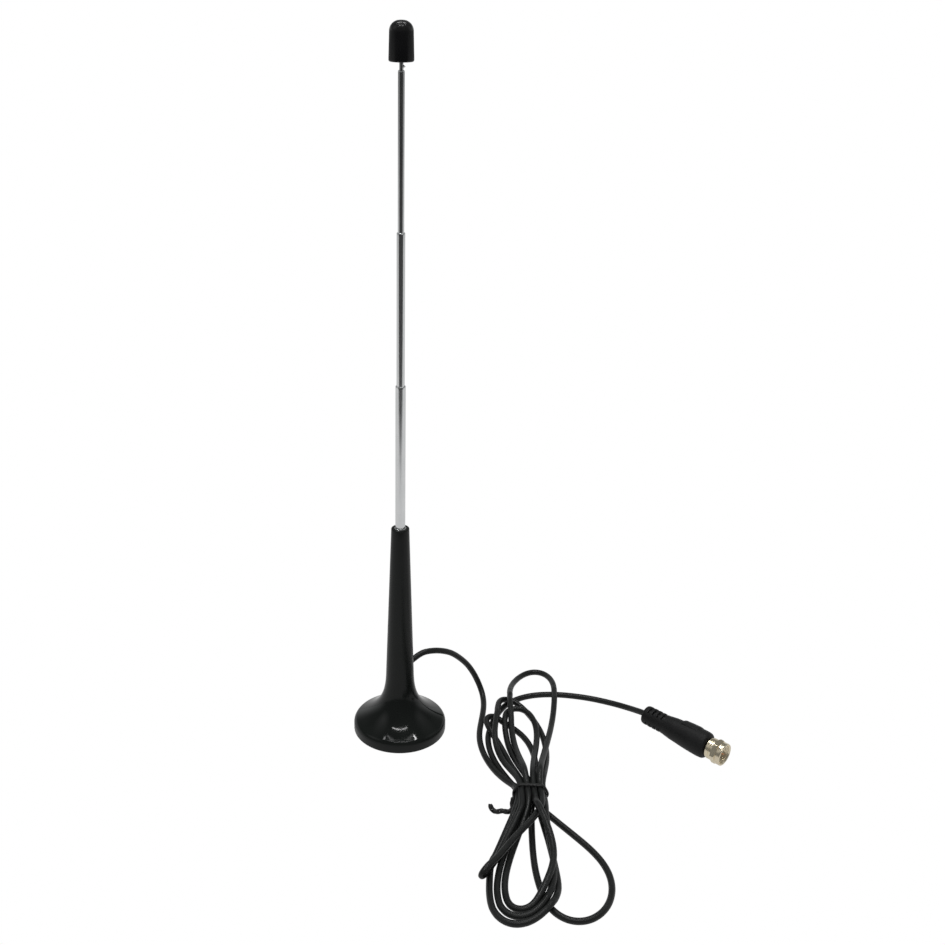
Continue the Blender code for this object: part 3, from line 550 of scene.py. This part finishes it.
def straightened(path, reach, rounds):
    """The path with the strands that pass its tightest fold smoothed where they run under it."""
    p = path.copy()
    half = 7
    fold = half + int(np.argmin(np.linalg.norm(p[2 * half :] - p[: -2 * half], axis=1)))
    near = 1 - np.linalg.norm(p[:, :2] - p[fold, :2], axis=1) / reach
    share = np.clip(2.5 * near, 0, 1) * (np.abs(np.arange(len(p)) - fold) > 2 * half)
    for _ in range(rounds):
        p[1:-1] += 0.5 * share[1:-1, None] * ((p[:-2] + p[2:]) / 2 - p[1:-1])
    return p


def build_lead(finish):
    centres = ring_centres("coax_lead")
    path = eased(smooth_path(centres, PATH_STEP), radius=4.5, rounds=16)
    path = smooth_path(straightened(path, reach=15.0, rounds=40), PATH_STEP)
    made = make("lead_jacket", sweep(path, ellipse(CABLE_R, CABLE_R, 18)), finish)
    stand_for(made, "coax_lead", "foot")
    return path


def hull(points):
    points = sorted(points)

    def half(run):
        out = []
        for x, y in run:
            while len(out) > 1 and (out[-1][0] - out[-2][0]) * (y - out[-2][1]) <= (
                (out[-1][1] - out[-2][1]) * (x - out[-2][0])
            ):
                out.pop()
            out.append((x, y))
        return out[:-1]

    return half(points) + half(points[::-1])


def build_tie(path, finish):
    """One plastic-covered wire: round the waist of the bundle, its two ends twisted together as a tail."""
    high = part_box("twist_tie")[1]
    tie_y = high.y / MM - TIE_RISE
    before, after = path[:-1], path[1:]
    crossing = (before[:, 1] - tie_y) * (after[:, 1] - tie_y) <= 0
    centres = before[crossing][:, [0, 2]]
    reach = CABLE_R + TIE_REACH
    turns = np.arange(0, math.tau, 0.1)
    rim = np.array(hull([(x + reach * math.cos(a), z + reach * math.sin(a)) for x, z in centres for a in turns]))
    start = int(np.argmin(rim[:, 0] + 0.6 * rim[:, 1]))
    rim = np.vstack([np.roll(rim, -start, 0), rim[start]])
    along = np.concatenate([[0], np.cumsum(np.linalg.norm(np.diff(rim, axis=0), axis=1))])
    marks = np.linspace(0.8, along[-1] - 0.8, 90)
    lean = np.linspace(-0.9, 0.9, 90)
    loop = np.stack([np.interp(marks, along, rim[:, 0]), tie_y + lean, np.interp(marks, along, rim[:, 1])], 1)
    x, z = rim[0]
    tail = [(x - 0.3, tie_y - 1.6, z + 0.2), (x - 0.9, tie_y - 3.2, 2.7), (x - 0.9, tie_y - 6.2, 2.4)]
    tail += [(x - 3.2, tie_y - 8.3, 2.1), (x - 6.4, tie_y - 7.8, 2.3), (x - 9.2, tie_y - 8.2, 2.1)]
    tail += [(x - 11.2, tie_y - 6.9, 2.8), (x - 11.9, tie_y - 5.2, 4.0)]
    core = smooth_path(tail, TAIL_STEP)
    ways = tangents(core)
    ends, flats = [], []
    for phase in (0.0, math.pi):
        turn = phase + np.arange(len(core)) * TAIL_STEP * math.tau / TAIL_PITCH
        out_1 = np.cross(ways, (0, 0, 1))
        out_1 /= np.linalg.norm(out_1, axis=1)[:, None]
        out_2 = np.cross(ways, out_1)
        out = out_1 * np.cos(turn)[:, None] + out_2 * np.sin(turn)[:, None]
        ends.append(core + TAIL_TWIST_R * out)
        flats.append(np.cross(ways, out))
    whole = np.vstack([ends[0][::-1], loop, ends[1]])
    level = np.tile([0.0, 1.0, 0.0], (len(loop), 1))
    sides = [flats[0][::-1], level, flats[1]]
    for one, two in ((0, 1), (1, 2)):
        if sides[one][-1] @ sides[two][0] < 0:
            sides[two] = -sides[two]
    sides = np.vstack(sides)
    wide = 6
    kernel = np.ones(2 * wide + 1) / (2 * wide + 1)
    padded = np.vstack([np.repeat(sides[:1], wide, 0), sides, np.repeat(sides[-1:], wide, 0)])
    sides = np.stack([np.convolve(padded[:, k], kernel, "valid") for k in range(3)], 1)
    made = make("twist_tie_wire", sweep(relaxed(whole, 5), ellipse(*TIE_SECTION, 14), sides), finish)
    return stand_for(made, "twist_tie", "foot")


def relaxed(path, rounds):
    """The path with its kinks eased by averaging each point with its neighbours."""
    p = path.copy()
    for _ in range(rounds):
        p[1:-1] = (p[:-2] + 2 * p[1:-1] + p[2:]) / 4
    return p


# ---------------------------------------------------------------- F plug


def piecewise(s, points):
    """Radius at s along a profile of (radius, s) points."""
    r, at = zip(*points)
    return np.interp(s, at, r)


def spaced(*edges, gap=0.35, fine=0.05):
    """Stations along an axis, close together round each edge and wider between them."""
    low, high = min(edges), max(edges)
    marks = set(np.round(np.arange(low, high, gap), 3)) | {low, high}
    for edge in edges:
        marks |= set(np.round(np.arange(max(low, edge - 0.25), min(high, edge + 0.25), fine), 3))
    return sorted(marks)


def build_boot(frame, finish):
    """Boot skin as one radius for each place along it and round it: slots top and bottom, a grip pad and a seam."""
    sides = 144
    angle = np.degrees(np.arange(sides) * math.tau / sides)
    from_top, from_grip = (np.abs((angle - roll + 180) % 360 - 180) for roll in (SLOT_ROLL, GRIP_ROLL))
    from_seam = np.minimum(np.abs(from_top - 90), 90)
    outline = [(4.2, 0.0), (4.65, 0.2), (4.9, 0.55), (5.1, 1.5), (5.2, 6.0), (5.2, 13.3), (5.6, 15.6), (6.0, 18.2)]
    outline += [(6.25, 21.5), (6.6, 25.0), (6.9, 28.5), (7.1, 32.0), (7.2, 35.5), (7.12, 37.6), (6.9, 38.6)]
    outline += [(6.45, 39.25), (5.8, BOOT_LENGTH)]
    grip = [(6.0, 22.4), (6.85, 22.65), (7.08, 23.2), (7.4, 27.5), (7.52, 31.5), (7.46, 32.5), (7.0, 33.0)]
    slot_starts = [SLOT_START + SLOT_PITCH * k for k in range(4)]
    edges = [0.0, 22.5, 32.9, BOOT_LENGTH] + [s + d for s in slot_starts for d in (0.0, SLOT_WIDTH)]
    rows = []
    for s in spaced(*edges):
        base = piecewise(s, outline)
        radius = np.full(sides, base)
        pad = max(0.0, piecewise(s, grip) - base) if 22.4 < s < 33.0 else 0.0
        radius += pad * (1 - step_up(from_grip, GRIP_HALF_ARC, 5.0))
        for start in slot_starts:
            depth = step_up(s, start, MOULD_SOFT) * (1 - step_up(s, start + SLOT_WIDTH, MOULD_SOFT))
            near = np.minimum(from_top, 180 - from_top)
            radius -= (base - SLOT_FLOOR_R) * depth * (1 - step_up(near, SLOT_HALF_ARC, 5.0))
        radius += SEAM_HEIGHT * (1 - step_up(from_seam, 1.6, 2.4))
        rows.append(ring(radius, s, sides))
    inside = [(3.6, BOOT_LENGTH), (3.6, 26.7), (CABLE_R + 0.2, 26.7), (CABLE_R + 0.2, 0.0)]
    rows += [ring(r, s, sides) for r, s in inside]
    made = make("boot_moulding", skin(rows), finish, frame, 50.0)
    return stand_for(made, "plug_boot", "foot")


def build_nut(frame, finish):
    """Swivel nut: rear rings, a hexagon band, a plain front collar and a real helical thread inside."""
    sides = 180
    angle = np.arange(sides) * math.tau / sides
    within = (np.degrees(angle) + 30) % 60 - 30
    flats, low, high = 5.7, 44.0, 46.7
    hexagon = flats / np.cos(np.radians(within))
    outline = [(4.95, NUT_FROM), (5.3, NUT_FROM + 0.3), (5.3, 41.15), (5.63, 41.3), (5.65, 41.6), (5.65, 42.45)]
    outline += [(5.42, 42.6), (5.42, 42.95), (5.65, 43.1), (5.65, 46.9), (6.05, 47.1), (6.1, NUT_TO - 0.4)]
    outline += [(5.97, NUT_TO - 0.12), (5.75, NUT_TO)]
    crown = [(5.2, low - 0.02), (5.95, low), (6.5, low + 0.4), (6.5, high - 0.4), (5.95, high), (5.2, high + 0.02)]
    rows = []
    for s in spaced(NUT_FROM, 41.2, 42.5, 43.0, low, high, 47.0, NUT_TO, gap=0.4):
        radius = np.full(sides, piecewise(s, outline))
        if low - 0.02 <= s <= high + 0.02:
            radius = np.maximum(radius, np.minimum(hexagon, piecewise(s, crown)))
        rows.append(ring(radius, s, sides))
    thread_from, thread_to = 43.7, NUT_TO - 0.75
    rows.append(ring(5.2, NUT_TO, sides))
    for s in np.arange(thread_to, thread_from, -THREAD_PITCH / 8):
        phase = (s / THREAD_PITCH + angle / math.tau) % 1.0
        ridge = 1 - np.abs(2 * phase - 1)
        fade = step_up(s, thread_from + 0.5, 0.8) * (1 - step_up(s, thread_to - 0.4, 0.6))
        rows.append(ring(THREAD_ROOT_R - THREAD_DEPTH * fade * ridge, s, sides))
    rows += [ring(r, s, sides) for r, s in ((4.75, 43.3), (4.75, 41.5), (4.0, 41.4), (4.0, NUT_FROM))]
    made = make("coupling_nut_nickel", skin(rows), finish, frame, 28.0)
    return stand_for(made, "coupling_nut", "nut")


def build_plug(f):
    """The plug's axis comes from its centre pin: the blind end is inside the boot and the tip in the nut."""
    pin = np.array([v.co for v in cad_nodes["centre_pin"].data.vertices]) / MM
    middle = pin.mean(0)
    spread = np.linalg.svd(pin - middle, full_matrices=False)[2][0]
    way = Vector(spread if spread[0] > 0 else -spread)
    along = (pin - middle) @ np.array(way)
    tip = Vector(middle) + way * along.max()
    frame = axis_frame(tip - way * PIN_END, way)
    build_boot(frame, f["boot"])
    build_nut(frame, f["nickel"])

    body = [(3.45, 27.0), (3.45, 39.9), (3.9, 40.0), (3.9, 41.7), (4.6, 41.8, 0.1), (4.6, 42.9, 0.2), (3.2, 43.0)]
    body += [(3.2, 44.2, 0.12), (2.75, 44.2), (2.75, 41.2), (1.3, 41.2), (1.3, 31.0), (CABLE_R + 0.2, 31.0)]
    body += [(CABLE_R + 0.2, 27.0)]
    made = make("plug_body_nickel", lathe(filleted(body), 72), f["nickel"], frame)
    stand_for(made, "plug_body", "foot")
    disc = [(0.8, 41.5), (2.5, 41.5, 0.1), (2.5, 44.0, 0.15), (0.8, 44.0, 0.1)]
    made = make("plug_insulator_disc", lathe(filleted(disc), 64), f["polythene"], frame)
    stand_for(made, "plug_insulator", "foot")
    wire = [(0, 31.0), (0.45, 31.0, 0.05), (0.45, PIN_END - 0.5), (0.3, PIN_END - 0.15), (0, PIN_END)]
    made = make("centre_conductor", lathe(filleted(wire), 32), f["copper"], frame)
    stand_for(made, "centre_pin", "foot")


# ---------------------------------------------------------------- carried-over CAD parts


def dress(node, finish, edge_mm=0.06):
    """A CAD node keeps its mesh and gets a finish, joined facets and softened edges."""
    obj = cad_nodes[node]
    obj.data.materials.clear()
    obj.data.materials.append(finish)
    if "custom_normal" in obj.data.attributes:
        obj.data.attributes.remove(obj.data.attributes["custom_normal"])
    obj.data.polygons.foreach_set("use_smooth", [True] * len(obj.data.polygons))
    weld = obj.modifiers.new("weld", "WELD")
    weld.merge_threshold = 1e-6
    bevel = obj.modifiers.new("bevel", "BEVEL")
    bevel.width, bevel.segments, bevel.limit_method = edge_mm * MM, 2, "ANGLE"
    bevel.angle_limit, bevel.harden_normals = math.radians(32), True


# ---------------------------------------------------------------- floor, light and camera


def build_floor():
    """A white table top, even to the camera. Reflections see it dark towards the camera and dimmer far away."""
    far = 30.0
    mesh = bpy.data.meshes.new("floor")
    mesh.from_pydata([(-far, -far, 0), (far, -far, 0), (far, far, 0), (-far, far, 0)], [], [(0, 1, 2, 3)])
    floor = bpy.data.objects.new("floor", mesh)
    bpy.context.scene.collection.objects.link(floor)
    n = Nodes("pale_floor")
    n.tree.nodes.remove(n.shader)
    axes, reach = n.add("ShaderNodeSeparateXYZ"), n.add("ShaderNodeVectorMath", operation="LENGTH")
    n.link(n.place, axes.inputs[0])
    n.link(n.place, reach.inputs[0])
    share = n.add("ShaderNodeMath", operation="DIVIDE")
    n.link(axes.outputs["Y"], share.inputs[0])
    n.link(reach.outputs["Value"], share.inputs[1])
    near = n.spread(axes.outputs["Y"], 0.0, 1.0, (-0.43, -0.33))
    aside = n.spread(share.outputs[0], 0.0, 1.0, (-0.65, -0.25))
    either = n.add("ShaderNodeMath", operation="MAXIMUM")
    n.link(near, either.inputs[0])
    n.link(aside, either.inputs[1])
    lit = n.add("ShaderNodeMapRange", interpolation_type="SMOOTHSTEP")
    n.link(either.outputs[0], lit.inputs["Value"])
    lit.inputs["To Min"].default_value, lit.inputs["To Max"].default_value = 0.05, 0.6
    seen, glow = n.add("ShaderNodeEmission"), n.add("ShaderNodeEmission")
    faded = n.add("ShaderNodeMath", operation="MULTIPLY")
    n.link(lit.outputs["Result"], faded.inputs[0])
    n.link(n.spread(reach.outputs["Value"], 1.0, 0.3, (0.9, 2.6)), faded.inputs[1])
    n.link(faded.outputs[0], glow.inputs["Strength"])
    path, mix = n.add("ShaderNodeLightPath"), n.add("ShaderNodeMixShader")
    n.link(path.outputs["Is Camera Ray"], mix.inputs[0])
    n.link(glow.outputs[0], mix.inputs[1])
    n.link(seen.outputs[0], mix.inputs[2])
    n.link(mix.outputs[0], n.tree.nodes["Material Output"].inputs["Surface"])
    mesh.materials.append(n.material)


def aimed(obj, place):
    """Puts a light at a place, facing the origin."""
    obj.location = place
    obj.rotation_euler = (-Vector(place)).to_track_quat("-Z", "Y").to_euler()
    bpy.context.scene.collection.objects.link(obj)
    return obj


def strip_light(name, place, size, power):
    data = bpy.data.lights.new(name, "AREA")
    data.shape, data.size, data.size_y, data.energy = "RECTANGLE", *size, power
    return aimed(bpy.data.objects.new(name, data), place)


def soft_box(name, place, size, strength):
    """A glowing panel that fades out towards its edges, unseen by the camera."""
    mesh = bpy.data.meshes.new(name)
    h = size / 2
    mesh.from_pydata([(-h, -h, 0), (h, -h, 0), (h, h, 0), (-h, h, 0)], [], [(0, 1, 2, 3)])
    n = Nodes(name)
    n.tree.nodes.remove(n.shader)
    reach, glow = n.add("ShaderNodeVectorMath", operation="LENGTH"), n.add("ShaderNodeEmission")
    n.link(n.place, reach.inputs[0])
    n.link(n.spread(reach.outputs["Value"], strength, 0.0, (0.0, h)), glow.inputs["Strength"])
    clear, both = n.add("ShaderNodeBsdfTransparent"), n.add("ShaderNodeAddShader")
    n.link(glow.outputs[0], both.inputs[0])
    n.link(clear.outputs[0], both.inputs[1])
    n.link(both.outputs[0], n.tree.nodes["Material Output"].inputs["Surface"])
    mesh.materials.append(n.material)
    panel = aimed(bpy.data.objects.new(name, mesh), place)
    panel.visible_camera = False
    panel.visible_shadow = False


def build_light():
    """Soft overall light, a dim soft box on each side, and strips overhead: three across the view draw the foot's
    and the cap's crescents, and two short ones to the sides draw the spots next to the foot's.
    """
    sun = bpy.data.lights.new("overall", "SUN")
    sun.energy, sun.angle = 3.0, math.radians(100)
    overall = bpy.data.objects.new("overall", sun)
    overall.rotation_euler = (math.radians(12), math.radians(-8), 0)
    overall.visible_glossy = False
    bpy.context.scene.collection.objects.link(overall)
    strip_light("strip", (0.0, -0.76, 2.0), (1.24, 0.044), 5.6)
    strip_light("strip_right", (0.78, -0.18, 2.0), (0.16, 0.06), 1.4)
    strip_light("strip_left", (-0.76, -0.16, 2.0), (0.1, 0.06), 0.24)
    strip_light("strip_between", (0.0, -0.3, 2.0), (1.4, 0.028), 0.8)
    strip_light("strip_rear", (0.0, 0.6, 2.0), (1.6, 0.08), 10.0)
    soft_box("side_left", (-0.95, -0.2, 0.9), 1.0, 0.6)
    soft_box("side_right", (1.0, 0.07, 0.72), 1.0, 0.4)

    world = bpy.data.worlds.new("studio")
    world.use_nodes = True
    bpy.context.scene.world = world
    tree = world.node_tree
    way, axes = tree.nodes.new("ShaderNodeTexCoord"), tree.nodes.new("ShaderNodeSeparateXYZ")
    tree.links.new(way.outputs["Generated"], axes.inputs[0])
    parts = []
    for axis, ends in (("Z", (0.05, 0.42, 0.5, 0.0)), ("Y", (-0.2, 0.5, 0.0, 1.0))):
        fade = tree.nodes.new("ShaderNodeMapRange")
        fade.interpolation_type = "SMOOTHSTEP"
        tree.links.new(axes.outputs[axis], fade.inputs["Value"])
        for key, number in zip(("From Min", "From Max", "To Min", "To Max"), ends):
            fade.inputs[key].default_value = number
        parts.append(fade.outputs["Result"])
    glow = tree.nodes.new("ShaderNodeMath")
    glow.operation = "MULTIPLY_ADD"
    tree.links.new(parts[0], glow.inputs[0])
    tree.links.new(parts[1], glow.inputs[1])
    glow.inputs[2].default_value = 0.17
    room = tree.nodes["Background"]
    room.inputs["Color"].default_value = (0.98, 1.0, 1.0, 1)
    tree.links.new(glow.outputs[0], room.inputs["Strength"])
    paper = tree.nodes.new("ShaderNodeBackground")
    paper.inputs["Color"].default_value = (1, 1, 1, 1)
    path, mix = tree.nodes.new("ShaderNodeLightPath"), tree.nodes.new("ShaderNodeMixShader")
    tree.links.new(path.outputs["Is Camera Ray"], mix.inputs["Fac"])
    tree.links.new(room.outputs[0], mix.inputs[1])
    tree.links.new(paper.outputs[0], mix.inputs[2])
    tree.links.new(mix.outputs[0], tree.nodes["World Output"].inputs["Surface"])


def build_camera():
    data = bpy.data.cameras.new("camera")
    data.lens, data.sensor_width = 48.95, 36.0
    data.shift_x, data.shift_y = 0.0361, -0.0234
    data.clip_start, data.clip_end = 0.01, 100
    camera = bpy.data.objects.new("camera", data)
    pitch, yaw, roll = 22.654, -1.832, 0.839
    turn = Matrix.Rotation(math.radians(yaw), 4, "Z") @ Matrix.Rotation(math.radians(90 - pitch), 4, "X")
    turn = turn @ Matrix.Rotation(math.radians(roll), 4, "Z")
    camera.matrix_world = Matrix.Translation((0, -0.5855, 0.4073)) @ turn
    bpy.context.scene.collection.objects.link(camera)
    bpy.context.scene.camera = camera


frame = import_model()
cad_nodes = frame["nodes"]

bpy.context.scene.view_settings.view_transform = "Standard"
looks = finishes()
build_mast(looks["abs"])
build_whip(looks)
build_tie(build_lead(looks["jacket"]), looks["tie"])
build_plug(looks)
for carried, look in {
    "foot_pad": "pad",
    "ring_magnet": "ferrite",
    "yoke_plate": "steel",
    "tube_end_plug": "brass",
    "fixing_screw": "steel",
    "lock_washer": "steel",
    "solder_lug": "tinned",
    "mast_dielectric": "polythene",
    "feed_conductor": "copper",
    "braid_pigtail": "tinned",
    "plug_dielectric": "polythene",
    "friction_sleeve_lower": "bronze",
    "friction_sleeve_middle": "bronze",
    "friction_sleeve_upper": "bronze",
    "friction_sleeve_tip": "bronze",
}.items():
    dress(carried, looks[look])
build_floor()
build_light()
build_camera()
